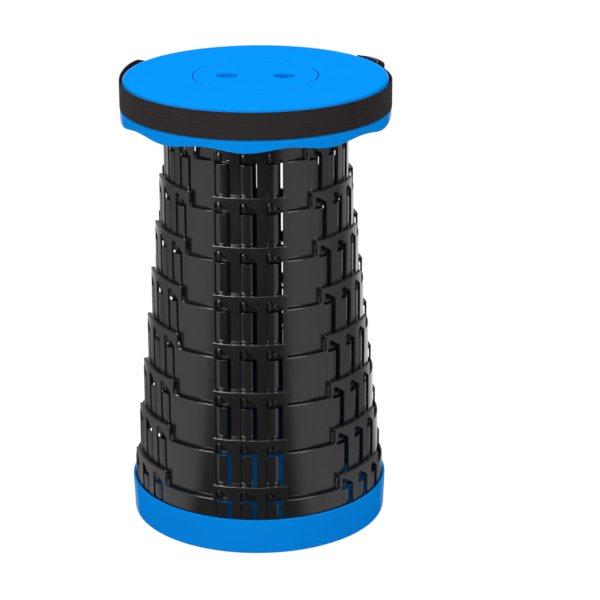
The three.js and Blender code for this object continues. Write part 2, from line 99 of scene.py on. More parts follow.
def roundedRectangle(left, right, low, high, radius, steps=4):
    return rounded([(x, y, radius) for x, y in rectangle(left, right, low, high)], steps)


def circle(radius, sides, middle=0.0):  # an outline round (0, middle)
    turns = [2 * math.pi * k / sides for k in range(sides)]
    return [(radius * math.cos(turn), radius * math.sin(turn) + middle) for turn in turns]


def prism(outline, low, high):  # outline in x and z, depth along y
    bm = bmesh.new()
    backs = [bm.verts.new((x, low, z)) for x, z in outline]
    fronts = [bm.verts.new((x, high, z)) for x, z in outline]
    bm.faces.new(backs)
    bm.faces.new(reversed(fronts))
    for i in range(len(outline)):
        j = (i + 1) % len(outline)
        bm.faces.new((backs[i], fronts[i], fronts[j], backs[j]))
    bmesh.ops.recalc_face_normals(bm, faces=bm.faces)
    return bm


swapped = Matrix(((1, 0, 0, 0), (0, 0, 1, 0), (0, 1, 0, 0), (0, 0, 0, 1)))


def raised(outline, low, high):  # outline in x and y, raised along z
    bm = prism(outline, low, high)
    bm.transform(swapped)
    bmesh.ops.recalc_face_normals(bm, faces=bm.faces)
    return bm


# a closed profile of (radius, height) turned round the axis; lift(angle, height) raises its points
def revolved(profile, segments, lift=None):
    bm = bmesh.new()
    rows = []
    for radius, height in profile:
        if radius < onAxis:
            rows.append([bm.verts.new((0, 0, height))])
            continue
        row = []
        for k in range(segments):
            angle = stool["front"] + 2 * math.pi * k / segments
            z = height + (lift(angle, height) if lift else 0)
            row.append(bm.verts.new((radius * math.cos(angle), radius * math.sin(angle), z)))
        rows.append(row)
    for first, second in zip(rows, rows[1:] + rows[:1]):
        if len(first) + len(second) == 2:
            continue
        for k in range(segments):
            loop = [first[k % len(first)], first[(k + 1) % len(first)],
                    second[(k + 1) % len(second)], second[k % len(second)]]
            bm.faces.new(list(dict.fromkeys(loop)))
    bmesh.ops.recalc_face_normals(bm, faces=bm.faces)
    return bm


def turned(corners, segments, steps=4, lift=None):  # a lathe form from corners (radius, height, rounding)
    return revolved([(p.x, p.y) for p in rounded(corners, steps)], segments, lift)


def joined(parts):  # several meshes as one, overlapping where they meet
    whole = bmesh.new()
    for part in parts:
        mesh = bpy.data.meshes.new("part")
        part.to_mesh(mesh)
        part.free()
        whole.from_mesh(mesh)
        bpy.data.meshes.remove(mesh)
    return whole


def workObject(bm):
    mesh = bpy.data.meshes.new("work")
    bm.to_mesh(mesh)
    bm.free()
    work = bpy.data.objects.new("work", mesh)
    bpy.context.collection.objects.link(work)
    return work


# adds and cuts other closed forms, then rounds the edges sharper than the angle
def carved(body, added=None, cutters=None, bevel=0.0, segments=2, angle=35):
    work = [workObject(body)]
    for tool, operation in ((added, "UNION"), (cutters, "DIFFERENCE")):
        if tool:
            work.append(workObject(joined(tool)))
            boolean = work[0].modifiers.new("carve", "BOOLEAN")
            boolean.operation, boolean.solver, boolean.object = operation, "EXACT", work[-1]
            boolean.use_self = True
    if bevel:
        edge = work[0].modifiers.new("edge", "BEVEL")
        edge.width, edge.segments, edge.limit_method = bevel, segments, "ANGLE"
        edge.angle_limit = math.radians(angle)
        edge.use_clamp_overlap = True
    result = bmesh.new()
    result.from_object(work[0], bpy.context.evaluated_depsgraph_get())
    for item in work:
        bpy.data.meshes.remove(item.data)
    return result


def everything(bm):
    return bm.verts[:] + bm.edges[:] + bm.faces[:]


def sliced(bm, low, high, step):  # cut across x so that the sheet can bend
    for k in range(1, math.ceil((high - low) / step)):
        place = (low + k * step, 0, 0)
        bmesh.ops.bisect_plane(bm, geom=everything(bm), plane_co=place, plane_no=(1, 0, 0))
    return bm


def wrapped(bm, radius):  # x goes round the stool at this radius, y outwards
    for vert in bm.verts:
        x, y, z = vert.co
        turn = stool["front"] + x / radius
        vert.co = ((radius + y) * math.cos(turn), (radius + y) * math.sin(turn), z)
    return bm


def aroundAxis(distance, degrees, height=0.0):  # a shift outwards, degrees from the front
    angle = angleAt(degrees)
    return Matrix.Translation((distance * math.cos(angle), distance * math.sin(angle), height))


def addPiece(name, bm, body, finish, replaced, sharp=35):
    mesh = bpy.data.meshes.new(name)
    bm.to_mesh(mesh)
    bm.free()
    mesh.materials.append(finish)
    mesh.shade_smooth()
    mesh.set_sharp_from_angle(angle=math.radians(sharp))
    piece = bpy.data.objects.new(name, mesh)
    bpy.context.collection.objects.link(piece)
    shading = piece.modifiers.new("shading", "WEIGHTED_NORMAL")
    shading.keep_sharp = True
    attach(piece, body)
    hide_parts(*replaced)


# Materials

def newGroup(name, inputs, outputs):
    group = bpy.data.node_groups.new(name, "ShaderNodeTree")
    for label, kind, value in inputs:
        socket = group.interface.new_socket(label, in_out="INPUT", socket_type="NodeSocket" + kind)
        socket.default_value = value
    for label, kind in outputs:
        group.interface.new_socket(label, in_out="OUTPUT", socket_type="NodeSocket" + kind)
    return group, group.nodes.new("NodeGroupInput"), group.nodes.new("NodeGroupOutput")


def addNode(tree, kind, settings=None, **values):
    node = tree.nodes.new("ShaderNode" + kind)
    for key, value in (settings or {}).items():
        setattr(node, key, value)
    for key, value in values.items():
        socket = node.inputs[int(key[1:]) if key[0] == "i" and key[1:].isdigit() else key]
        if isinstance(value, bpy.types.NodeSocket):
            tree.links.new(value, socket)
        else:
            socket.default_value = value
    return node


moulding = {
    "cloudScale": 22.0,
    "cloudDetail": 4.0,
    "cloudRoughness": 0.6,
    "rubScale": (60, 60, 9),
    "rubDetail": 5.0,
    "rubRoughness": 0.7,
    "rubLow": 0.35,
    "rubHigh": 0.7,
    "grainDetail": 2.0,
}


def mouldedSurface():  # fine grain, cloudy shade and rubbed patches of moulded plastic
    group, ends, out = newGroup("mouldedSurface", [
        ("Color", "Color", (0.5, 0.5, 0.5, 1)), ("Shade", "Color", (0.4, 0.4, 0.4, 1)),
        ("Clouding", "Float", 0.5), ("Roughness", "Float", 0.4), ("Rubbing", "Float", 0.1),
        ("Grain Size", "Float", 0.8 * mm)], [("Color", "Color"), ("Roughness", "Float"), ("Height", "Float")])
    place = addNode(group, "TexCoord").outputs["Object"]
    cloud = addNode(group, "TexNoise", Vector=place, Scale=moulding["cloudScale"],
                    Detail=moulding["cloudDetail"], Roughness=moulding["cloudRoughness"])
    amount = addNode(group, "Math", {"operation": "MULTIPLY"}, i0=cloud.outputs["Fac"],
                     i1=ends.outputs["Clouding"])
    shade = addNode(group, "Mix", {"data_type": "RGBA"}, i0=amount.outputs[0], i6=ends.outputs["Color"],
                    i7=ends.outputs["Shade"])
    streaks = addNode(group, "Mapping", Vector=place, Scale=moulding["rubScale"])
    rub = addNode(group, "TexNoise", Vector=streaks.outputs[0], Scale=1.0, Detail=moulding["rubDetail"],
                  Roughness=moulding["rubRoughness"])
    rubbed = addNode(group, "MapRange", Value=rub.outputs["Fac"], i1=moulding["rubLow"],
                     i2=moulding["rubHigh"], i3=-0.5, i4=0.5)
    change = addNode(group, "Math", {"operation": "MULTIPLY"}, i0=rubbed.outputs[0],
                     i1=ends.outputs["Rubbing"])
    rough = addNode(group, "Math", {"operation": "ADD"}, i0=change.outputs[0], i1=ends.outputs["Roughness"])
    inverse = addNode(group, "Math", {"operation": "DIVIDE"}, i0=1.0, i1=ends.outputs["Grain Size"])
    grain = addNode(group, "TexNoise", Vector=place, Scale=inverse.outputs[0],
                    Detail=moulding["grainDetail"])
    group.links.new(shade.outputs[2], out.inputs["Color"])
    group.links.new(rough.outputs[0], out.inputs["Roughness"])
    group.links.new(grain.outputs["Fac"], out.inputs["Height"])
    return group


surfaceGroup = mouldedSurface()


def newMaterial(name):
    material = bpy.data.materials.new(name)
    material.use_nodes = True
    shader = material.node_tree.nodes["Principled BSDF"]
    return material, material.node_tree, shader


def plasticMaterial(name, look):
    material, tree, shader = newMaterial(name)
    surface = addNode(tree, "Group", {"node_tree": surfaceGroup})
    for label in ("Color", "Shade", "Clouding", "Roughness", "Rubbing", "Grain Size"):
        surface.inputs[label].default_value = look[label]
    bump = addNode(tree, "Bump", Strength=look["Bump"], Distance=look["Depth"],
                   Height=surface.outputs["Height"])
    tree.links.new(surface.outputs["Color"], shader.inputs["Base Color"])
    tree.links.new(surface.outputs["Roughness"], shader.inputs["Roughness"])
    tree.links.new(bump.outputs[0], shader.inputs["Normal"])
    shader.inputs["Specular IOR Level"].default_value = look["Specular"]
    if "Rim Gloss" in look:  # only faces seen edge-on shine
        edgeOn = addNode(tree, "LayerWeight", Blend=0.5)
        gloss = addNode(tree, "MapRange", Value=edgeOn.outputs["Facing"], i1=look["Rim From"],
                        i2=look["Rim To"], i3=look["Specular"], i4=look["Rim Gloss"])
        tree.links.new(gloss.outputs[0], shader.inputs["Specular IOR Level"])
    return material


bluePlastic = plasticMaterial("bluePlastic", {
    "Color": (0.0025, 0.315, 0.97, 1), "Shade": (0.0018, 0.27, 0.9, 1), "Clouding": 0.5,
    "Roughness": 0.38, "Rubbing": 0.08, "Grain Size": 0.7 * mm, "Bump": 0.12, "Depth": 0.05 * mm,
    "Specular": 0.0, "Rim Gloss": 0.35, "Rim From": 0.8, "Rim To": 0.98,
})
blackPlastic = plasticMaterial("blackPlastic", {
    "Color": (0.019, 0.0185, 0.018, 1), "Shade": (0.013, 0.0127, 0.0124, 1), "Clouding": 0.8,
    "Roughness": 0.21, "Rubbing": 0.08, "Grain Size": 0.9 * mm, "Bump": 0.08, "Depth": 0.05 * mm,
    "Specular": 0.5,
})
rubber = plasticMaterial("padRubber", {
    "Color": (0.014, 0.014, 0.014, 1), "Shade": (0.022, 0.021, 0.02, 1), "Clouding": 0.7,
    "Roughness": 0.8, "Rubbing": 0.1, "Grain Size": 0.5 * mm, "Bump": 0.5, "Depth": 0.08 * mm,
    "Specular": 0.3,
})


def steelMaterial(look):
    material, tree, shader = newMaterial("screwSteel")
    place = addNode(tree, "TexCoord").outputs["Object"]
    scratches = addNode(tree, "TexNoise", Vector=place, Scale=look["scratchScale"],
                        Detail=look["scratchDetail"])
    rough = addNode(tree, "MapRange", Value=scratches.outputs["Fac"], i3=look["smooth"], i4=look["rough"])
    stain = addNode(tree, "TexNoise", Vector=place, Scale=look["stainScale"], Detail=look["stainDetail"])
    colour = addNode(tree, "Mix", {"data_type": "RGBA"}, i0=stain.outputs["Fac"], i6=look["bright"],
                     i7=look["stained"])
    tree.links.new(colour.outputs[2], shader.inputs["Base Color"])
    tree.links.new(rough.outputs[0], shader.inputs["Roughness"])
    shader.inputs["Metallic"].default_value = 1.0
    return material


steel = steelMaterial({
    "bright": (0.62, 0.63, 0.65, 1), "stained": (0.48, 0.49, 0.5, 1), "smooth": 0.22, "rough": 0.42,
    "scratchScale": 2600.0, "scratchDetail": 3.0, "stainScale": 300.0, "stainDetail": 2.0,
})


def waves(tree, layout, direction, perMetre):  # a wave texture of scale 1 has 10 / pi waves in a metre
    return addNode(tree, "TexWave", {"bands_direction": direction, "wave_profile": "SIN"},
                   Vector=layout.outputs[0], Scale=perMetre / 10 * math.pi, Distortion=0.0)


def webbingMaterial(look):
    material, tree, shader = newMaterial("strapWebbing")
    layout = addNode(tree, "UVMap")
    ribs = waves(tree, layout, "X", look["ribsPerMetre"])
    threads = waves(tree, layout, "Y", look["threadsPerMetre"])
    weave = addNode(tree, "Math", {"operation": "MULTIPLY"}, i0=ribs.outputs["Fac"],
                    i1=threads.outputs["Fac"])
    height = addNode(tree, "Math", {"operation": "MULTIPLY_ADD"}, i0=ribs.outputs["Fac"],
                     i1=look["ribHeight"], i2=weave.outputs[0])
    fuzz = addNode(tree, "TexNoise", Vector=layout.outputs[0], Scale=look["fuzzScale"],
                   Detail=look["fuzzDetail"])
    # painted shade: the weave's valleys are darkened and its rib tops lightened by bump height; the fuzz
    # noise adds random tone
    fuzzAndShading = addNode(tree, "Math", {"operation": "MULTIPLY_ADD"}, i0=height.outputs[0],
                   i1=look["valleyShading"], i2=fuzz.outputs["Fac"])
    fade = addNode(tree, "MapRange", Value=fuzzAndShading.outputs[0], i1=look["darkest"], i2=look["lightest"])
    colour = addNode(tree, "Mix", {"data_type": "RGBA"}, i0=fade.outputs[0], i6=look["shadedValley"],
                     i7=look["thread"])
    bump = addNode(tree, "Bump", Strength=look["bump"], Distance=look["depth"], Height=height.outputs[0])
    tree.links.new(colour.outputs[2], shader.inputs["Base Color"])
    tree.links.new(bump.outputs[0], shader.inputs["Normal"])
    shader.inputs["Roughness"].default_value = look["roughness"]
    shader.inputs["Specular IOR Level"].default_value = look["specular"]
    shader.inputs["Sheen Weight"].default_value = look["sheen"]
    return material


webbing = webbingMaterial({
    # the first colour is the webbing's colour with painted shade for the weave's valleys
    "shadedValley": (0.0135, 0.0108, 0.0098, 1), "thread": (0.031, 0.0245, 0.0225, 1),
    "ribsPerMetre": 750, "threadsPerMetre": 280, "ribHeight": 0.5, "fuzzScale": 2200.0, "fuzzDetail": 3.0,
    "valleyShading": 0.6, "darkest": 0.3, "lightest": 1.5, "bump": 0.7, "depth": 0.18 * mm,
    "roughness": 0.85, "specular": 0.08, "sheen": 0.02,
})
print("materials made")

# Column: rings with arcades of three arches

column = {
    "sectors": 6,
    "arches": 3,
    "arcadeWidth": 71.7 * mm,
    "arcadeStart": 2.1 * mm,
    "archPitch": 24.7 * mm,
    "archWidth": 16.0 * mm,
    "panelWidth": 11.7 * mm,
    "panelDepth": 1.5 * mm,
    "panelBulge": 1.3 * mm,
    "panelRoundness": 0.8,
    "panelSteps": 12,
    "panelBite": 0.4 * mm,
    "panelInset": 0.05 * mm,
    "panelEdge": 0.2 * mm,
    "panelSharp": 50,  # degrees, edges sharper than this are rounded
    "battlement": 14.4 * mm,
    "crownDrop": 4.0 * mm,
    "crownWidth": 3.2 * mm,
    "crownRounding": 3.0 * mm,
    "shoulderDrop": 2.6 * mm,
    "shoulderRounding": 2.4 * mm,
    "archFall": 8.2 * mm,
    "fallRounding": 4.5 * mm,
    "sill": 3.0 * mm,
    "sillRounding": 0.6 * mm,
    "lipHeight": 3.6 * mm,
    "lipClearance": 1.1 * mm,
    "edge": 0.75 * mm,
    "windowEdge": 0.45 * mm,
    "bend": 4.0 * mm,
    "earWidth": 15.0 * mm,
    "earReach": 13.0 * mm,
    "earThickness": 1.9 * mm,
    "earBite": 0.6 * mm,
    "earRounding": 3.0 * mm,
    "earEdge": 0.3 * mm,
    "tubeEarDrop": 6.1 * mm,
    "screwInset": 7.5 * mm,
    "screwHole": 1.7 * mm,
    "holeSides": 16,
}
lug = {
    "width": 5.8 * mm,
    "topWidth": 3.4 * mm,
    "inset": 0.2 * mm,
    "lift": 0.5 * mm,
    "height": 11.8 * mm,
    "standOut": 2.7 * mm,
    "root": 1.4 * mm,
    "belly": 0.35,
    "footShare": 0.7,
    "crownShare": 0.12,
    "roundness": 0.7,
    "sides": 10,
    "steps": 16,
}


def ringRadius(ring):  # ring 0 is the seat's tube
    return stool["bottomRadius"] - stool["ringStep"] * (stool["rings"] - ring)


def screwCircle(ring):
    return ringRadius(ring) - stool["wall"] - column["screwInset"]


def archLeft(arch):  # from the middle of the arcade
    return column["arcadeStart"] + arch * column["archPitch"] - column["arcadeWidth"] / 2


def archOutline(arch, foot, rim):
    left, crown, low = archLeft(arch), rim - column["crownDrop"], foot + column["sill"]
    right, top = left + column["archWidth"], left + column["crownWidth"]
    return rounded([
        (left, low, column["sillRounding"]), (right, low, column["sillRounding"]),
        (right, crown - column["archFall"], column["fallRounding"]), (top, crown, column["crownRounding"]),
        (left, crown - column["shoulderDrop"], column["shoulderRounding"]),
    ])


def panelColumn(arch, foot, rim):  # the closed left part of the window, its outer face fullest in the middle
    left, width, depth = archLeft(arch), column["panelWidth"], column["panelDepth"]
    wall, bite = stool["wall"] - column["panelInset"], column["panelBite"]
    outline = [(left + width, -wall), (left - bite, -wall), (left - bite, -depth)]
    for k in range(column["panelSteps"] + 1):
        share = k / column["panelSteps"]
        bulge = column["panelBulge"] * math.sin(math.pi * share) ** column["panelRoundness"]
        outline.append((left + width * share, bulge - depth))
    panel = raised(outline, foot + column["sill"] - bite, rim - stool["lap"] - stool["gap"])
    return carved(panel, bevel=column["panelEdge"], angle=column["panelSharp"])


def slotOutline(arch, foot, rim):
    left, right = archLeft(arch) + column["panelWidth"], archLeft(arch) + column["archWidth"]
    return roundedRectangle(left, right, foot + column["sill"], rim - stool["lap"], column["sillRounding"])


def lugSolid(middle, low):  # drop-shaped, lofted from its foot to its crown
    bm = bmesh.new()
    rows = []
    for k in range(lug["steps"] + 1):
        share = k / lug["steps"]
        if share < lug["belly"]:
            swell = lug["footShare"] + (1 - lug["footShare"]) * math.sin(math.pi / 2 * share / lug["belly"])
        else:
            swell = math.sqrt(max(0.0, 1 - ((share - lug["belly"]) / (1 - lug["belly"])) ** 2))
        half = (lug["width"] * (1 - share) + lug["topWidth"] * share) / 2 * max(swell, lug["crownShare"])
        row = [(-half, -lug["root"])]
        for j in range(lug["sides"] + 1):
            turn = math.pi * j / lug["sides"]
            row.append((-half * math.cos(turn), lug["standOut"] * swell * math.sin(turn) ** lug["roundness"]))
        row.append((half, -lug["root"]))
        z = low + lug["height"] * share
        rows.append([bm.verts.new((middle + x, y, z)) for x, y in row])
    for first, second in zip(rows, rows[1:]):
        for j in range(len(first)):
            following = (j + 1) % len(first)
            bm.faces.new((first[j], first[following], second[following], second[j]))
    bm.faces.new(rows[0])
    bm.faces.new(rows[-1])
    bmesh.ops.recalc_face_normals(bm, faces=bm.faces)
    return bm


def lugSolids(radius, foot):  # each stands in an arch of the next ring out
    solids = []
    for arch in range(column["arches"]):
        middle = (archLeft(arch) + lug["inset"] + lug["width"] / 2) * radius / (radius + stool["ringStep"])
        solids.append(lugSolid(middle, foot + lug["lift"]))
    return solids


# one sixth of a ring, made flat and then bent round; kind is tube, sliding or fixed
def ringSector(radius, foot, rim, windowFoot, kind):
    half = math.pi * radius / column["sectors"]
    spare = 2 * stool["overrun"]
    wall, width = stool["wall"], column["arcadeWidth"] / 2
    arches = range(column["arches"])
    if kind == "tube":
        body = prism(rectangle(-half - spare, half + spare, foot, rim), -wall, 0)
        cutters = [prism(slotOutline(arch, foot, rim), -wall - spare, spare) for arch in arches]
        sector = carved(body, cutters=cutters, bevel=column["windowEdge"])
    else:
        low = rim - column["battlement"]
        body = prism([(-half - spare, foot), (half + spare, foot), (half + spare, low), (width, low),
                      (width, rim), (-width, rim), (-width, low), (-half - spare, low)], -wall, 0)
        depth = stool["ringStep"] - column["lipClearance"]
        lip = prism(rectangle(-width, width, rim - column["lipHeight"], rim), -depth, -wall / 2)
        cutters = [prism(archOutline(arch, windowFoot, rim), -wall - spare, spare) for arch in arches]
        body = carved(body, [lip], bevel=column["edge"], segments=3)
        sector = carved(body, cutters=cutters, bevel=column["windowEdge"])
        sector = joined([sector, *[panelColumn(arch, windowFoot, rim) for arch in arches]])
    if kind != "fixed":
        sector = joined([sector, *lugSolids(radius, foot)])
    for side in (-1, 1):
        bmesh.ops.bisect_plane(sector, geom=everything(sector), plane_co=(side * half, 0, 0),
                               plane_no=(side, 0, 0), clear_outer=True)
    return wrapped(sliced(sector, -half, half, column["bend"]), radius)


def ear(radius, degrees, low):  # a tab inside the ring with a hole for its screw
    reach, half, bite = column["earReach"], column["earWidth"] / 2, column["earBite"]
    plan = rounded([(-half, -reach, column["earRounding"]), (half, -reach, column["earRounding"]),
                    (half, bite, 0), (-half, bite, 0)])
    hole = prism(circle(column["screwHole"], column["holeSides"], -column["screwInset"]),
                 -stool["overrun"], 3 * stool["overrun"])
    tab = carved(prism(plan, 0, column["earThickness"]), cutters=[hole], bevel=column["earEdge"])
    spin = Matrix.Rotation(angleAt(degrees) - math.radians(90), 4, "Z")
    tab.transform(aroundAxis(radius - stool["wall"], degrees, low) @ spin @ swapped)
    bmesh.ops.recalc_face_normals(tab, faces=tab.faces)
    return tab


def ringPiece(name, body, radius, kind, windowFoot=None, earLow=None):
    foot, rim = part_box(name)[0].z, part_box(name)[1].z
    sector = ringSector(radius, foot, rim, windowFoot or foot, kind)
    bmesh.ops.spin(sector, geom=everything(sector), cent=(0, 0, 0), axis=(0, 0, 1), use_duplicate=True,
                   angle=math.radians(360 - 360 / column["sectors"]), steps=column["sectors"] - 1)
    bmesh.ops.remove_doubles(sector, verts=sector.verts, dist=stool["weld"])
    parts = [sector]
    if earLow:
        parts += [ear(radius, degrees, earLow) for degrees in stool["screwAngles"]]
    addPiece(name + "_moulding", joined(parts), body, blackPlastic, [name])


for ring in range(1, stool["rings"]):
    ringPiece(f"ring_{ring}", f"tier_{ring}", ringRadius(ring), "sliding")
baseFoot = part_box("ring_8")[0].z
nestedFoot = baseFoot + column["earThickness"] + stool["gap"]  # where ring 7 comes to rest
ringPiece("ring_8", "base", ringRadius(8), "fixed", nestedFoot, baseFoot)
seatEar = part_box("seat_tube")[1].z - column["tubeEarDrop"]
ringPiece("seat_tube", "seat", ringRadius(0), "tube", None, seatEar)
print("column made")

# Seat shell

seat = {
    "radius": 126.0 * mm,
    "rounding": 4.25 * mm,
    "plate": 3.2 * mm,
    "plateFillet": 1.5 * mm,
    "wall": 1.8 * mm,
    "flare": 2.6 * mm,
    "flareDrop": 29.1 * mm,
    "flareHeight": 1.6 * mm,
    "flareBend": 1.2 * mm,
    "skirtDepth": 38.9 * mm,
    "skirtEdge": 0.7 * mm,
    "wave": 2.1 * mm,
    "waves": 10,
    "ribs": 12,
    "ribThickness": 1.6 * mm,
    "ribHeight": 3.0 * mm,
    "ribClearance": 2.1 * mm,
    "ribBite": 0.6 * mm,
    "plateBite": 0.8 * mm,
    "bossRadius": 4.2 * mm,
    "bossHeight": 4.2 * mm,
    "bossEdge": 0.4 * mm,
    "bossHoleEdge": 0.2 * mm,
    "hubWall": 2.5 * mm,
    "hubDepth": 6.0 * mm,
    "hubEdge": 0.6 * mm,
    "hubFillet": 0.8 * mm,
    "hubInnerEdge": 0.4 * mm,
    "boreEdge": 0.9 * mm,
    "ledgeEdge": 0.3 * mm,
    "segments": 180,
    "steps": 5,
    "bossSegments": 32,
}
cap = {
    "radius": 59.0 * mm,
    "thickness": 3.2 * mm,
    "ledge": 4.0 * mm,
    "edge": 0.9 * mm,
    "underEdge": 0.4 * mm,
    "joint": 1.1 * mm,
    "holeSpacing": 54.0 * mm,
    "holeRadius": 12.0 * mm,
    "holeSpare": 0.3 * mm,
    "throatRadius": 10.2 * mm,
    "throatRise": 0.6 * mm,
    "dishSteps": 6,
    "collarWall": 1.2 * mm,
    "collarDepth": 9.0 * mm,
    "collarEdge": 0.5 * mm,
    "clips": 3,
    "clipWidth": 9.0 * mm,
    "clipThickness": 2.0 * mm,
    "clipHook": 1.3 * mm,
    "clipTip": 2.6 * mm,
    "clipRise": 0.6 * mm,
    "clipEdge": 0.25 * mm,
    "segments": 128,
    "holeSegments": 48,
}


def skirtWave(angle, height):  # full at the lower edge, none above the flare
    flareLow = seat["flareDrop"] + seat["flareHeight"]
    share = max(0.0, (stool["seatTop"] - flareLow - height) / (seat["skirtDepth"] - flareLow))
    return -seat["wave"] * math.cos(seat["waves"] * (angle - stool["front"])) * min(1.0, share)


def seatShell():
    top = stool["seatTop"]
    outer, inner = seat["radius"], seat["radius"] - seat["wall"]
    under, bore, ledgeIn = top - seat["plate"], cap["radius"] + cap["joint"], cap["radius"] - cap["ledge"]
    lowest, flareTop = top - seat["skirtDepth"], top - seat["flareDrop"]
    flareLow, flare, bend = flareTop - seat["flareHeight"], seat["flare"], seat["flareBend"]
    hubOut, hubLow = bore + seat["hubWall"], top - seat["hubDepth"]
    ledge = top - cap["thickness"] - stool["gap"]
    return turned([
        (ledgeIn, hubLow, seat["hubInnerEdge"]), (hubOut, hubLow, seat["hubEdge"]),
        (hubOut, under, seat["hubFillet"]), (inner, under, seat["plateFillet"]),
        (inner, flareTop, bend), (inner + flare, flareLow, bend),
        (inner + flare, lowest, seat["skirtEdge"]), (outer + flare, lowest, seat["skirtEdge"]),
        (outer + flare, flareLow, bend), (outer, flareTop, bend),
        (outer, top, seat["rounding"]), (bore, top, seat["boreEdge"]),
        (bore, ledge, 0), (ledgeIn, ledge, seat["ledgeEdge"]),
    ], seat["segments"], seat["steps"], skirtWave)


def makeSeat():
    under = stool["seatTop"] - seat["plate"]
    half, bite = seat["ribThickness"] / 2, under + seat["plateBite"]
    parts = [seatShell()]
    for k in range(seat["ribs"]):
        rib = prism(rectangle(-half, half, under - seat["ribHeight"], bite),
                    ringRadius(0) + seat["ribClearance"], seat["radius"] - seat["wall"] + seat["ribBite"])
        rib.transform(Matrix.Rotation(angleAt((k + 0.5) * 360 / seat["ribs"]) - math.radians(90), 4, "Z"))
        parts.append(rib)
    low, bore, radius = under - seat["bossHeight"], column["screwHole"], seat["bossRadius"]
    for degrees in stool["screwAngles"]:
        boss = turned([(bore, low, seat["bossHoleEdge"]), (radius, low, seat["bossEdge"]),
                       (radius, bite, 0), (bore, bite, 0)], seat["bossSegments"])
        boss.transform(aroundAxis(screwCircle(0), degrees))
        parts.append(boss)
    addPiece("seat_moulding", joined(parts), "seat", bluePlastic, ["seat_shell"])


def fingerHole(low, under, top):  # the dished cutter: a throat that widens to the top
    throat, widening = cap["throatRadius"], cap["holeRadius"] - cap["throatRadius"]
    rise, past = cap["throatRise"], stool["overrun"]
    dish = [(0, low - past), (throat, low - past), (throat, under + rise)]
    for k in range(1, cap["dishSteps"] + 1):
        turn = k / cap["dishSteps"] * math.pi / 2
        dish.append((throat + widening * (1 - math.cos(turn)),
                     under + rise + (cap["thickness"] - rise) * math.sin(turn)))
    dish += [(cap["holeRadius"] + cap["holeSpare"], top + past), (0, top + past)]
    return revolved(dish, cap["holeSegments"])


def clipSolid(under, low):  # a hook under the hub's ledge
    face = cap["radius"] - cap["ledge"] - stool["gap"]
    back, high, tip = face - cap["clipThickness"], under + cap["clipRise"], low - cap["clipTip"]
    outline = [(back, high), (back, tip), (face, tip),
               (face + cap["clipHook"], low), (face, low), (face, high)]
    return carved(prism(outline, -cap["clipWidth"] / 2, cap["clipWidth"] / 2), bevel=cap["clipEdge"])


def makeCap():
    top, radius = stool["seatTop"], cap["radius"]
    under, low, past = top - cap["thickness"], top - cap["collarDepth"], stool["overrun"]
    disc = turned([(0, under, 0), (radius, under, cap["underEdge"]), (radius, top, cap["edge"]), (0, top, 0)],
                  cap["segments"])
    cutters, collars = [], []
    for side in (-1, 1):
        place = Matrix.Translation((side * cap["holeSpacing"] / 2, 0, 0))
        outer = cap["throatRadius"] + cap["collarWall"]
        collar = turned([(0, low, 0), (outer, low, cap["collarEdge"]), (outer, under + past, 0),
                         (0, under + past, 0)], cap["holeSegments"])
        cutter = fingerHole(low, under, top)
        collar.transform(place)
        cutter.transform(place)
        collars.append(collar)
        cutters.append(cutter)
    clips = []
    for k in range(cap["clips"]):
        clip = clipSolid(under, top - seat["hubDepth"] - stool["gap"])
        clip.transform(Matrix.Rotation(angleAt(k * 360 / cap["clips"]), 4, "Z"))
        clips.append(clip)
    whole = joined([carved(disc, collars, cutters), *clips])
    addPiece("cap_moulding", whole, "seat", bluePlastic, ["centre_cap"], sharp=30)


makeSeat()
makeCap()
print("seat made")

# Strap

strap = {
    "width": 25.6 * mm,
    "thickness": 1.25 * mm,
    "edge": 0.5 * mm,
    "edgeSteps": 3,
    "drop": 3.2 * mm,
    "facet": 6,  # degrees, round the solid band
    "foldAngle": -117.4,
    "foldReach": 1.4 * mm,
    "foldSquareness": 1.35,
    "foldSteps": 16,
    "flapEnd": -108.0,
    "to": 134.4,
    "slack": 1.5 * mm,
    "slackPower": 1.6,
    "slackFade": 8.0 * mm,
    "loop": 8.8 * mm,
    "loopShares": [(0, 0), (55, 0), (68, 0.06), (81, 0.14), (88, 0.2), (95, 0.36), (101.5, 0.54),
                   (107.5, 0.75), (113, 0.92), (118, 1)],  # degrees to the left, share of the loop
    "skew": 1.6 * mm,
    "skewRate": 1.6,
    "skewDelay": 0.6,
    "step": 0.6,
    "sliderAngle": 123.4,
    "flatRun": 3.0 * mm,
    "weaveEnd": 7.6 * mm,
    "tail": [(113.2, 130.2 * mm), (115.0, 131.6 * mm), (117.5, 132.6 * mm), (121.0, 133.1 * mm),
             (125.5, 133.1 * mm), (128.3, 131.9 * mm), (130.5, 129.6 * mm), (133.0, 127.9 * mm)],
    "tailSkew": 2.4 * mm,
    "tailSteps": 36,
}
slider = {
    "halfLength": 11.0 * mm,
    "corner": 4.0 * mm,
    "cornerSteps": 6,
    "slotCorner": 0.8 * mm,
    "edge": 0.55 * mm,
    "rail": 2.8 * mm,
    "railGap": 0.4 * mm,
    "sideBar": 3.0 * mm,
    "middleBar": 3.5 * mm,
    "thickness": 2.2 * mm,
}
sliderInner = seat["radius"] + seat["flare"] + stool["gap"]
strapLying = (seat["radius"] + stool["gap"]) / math.cos(math.radians(strap["facet"] / 2))
strapMiddle = stool["seatTop"] - strap["drop"] - strap["width"] / 2


def smoothStep(share):
    return share * share * (3 - 2 * share)


def between(table, place):  # smooth curve through a table of (place, value)
    for k in range(len(table) - 1):
        (a, low), (b, high) = table[k], table[k + 1]
        if place <= b:
            before, after = table[max(k - 1, 0)], table[min(k + 2, len(table) - 1)]
            leave = (high - before[1]) / (b - before[0]) * (b - a)
            arrive = (after[1] - low) / (after[0] - a) * (b - a)
            t = (place - a) / (b - a)
            rise = (high - low) * smoothStep(t)
            return low + rise + leave * t * (1 - t) ** 2 - arrive * t * t * (1 - t)
    return table[-1][1]


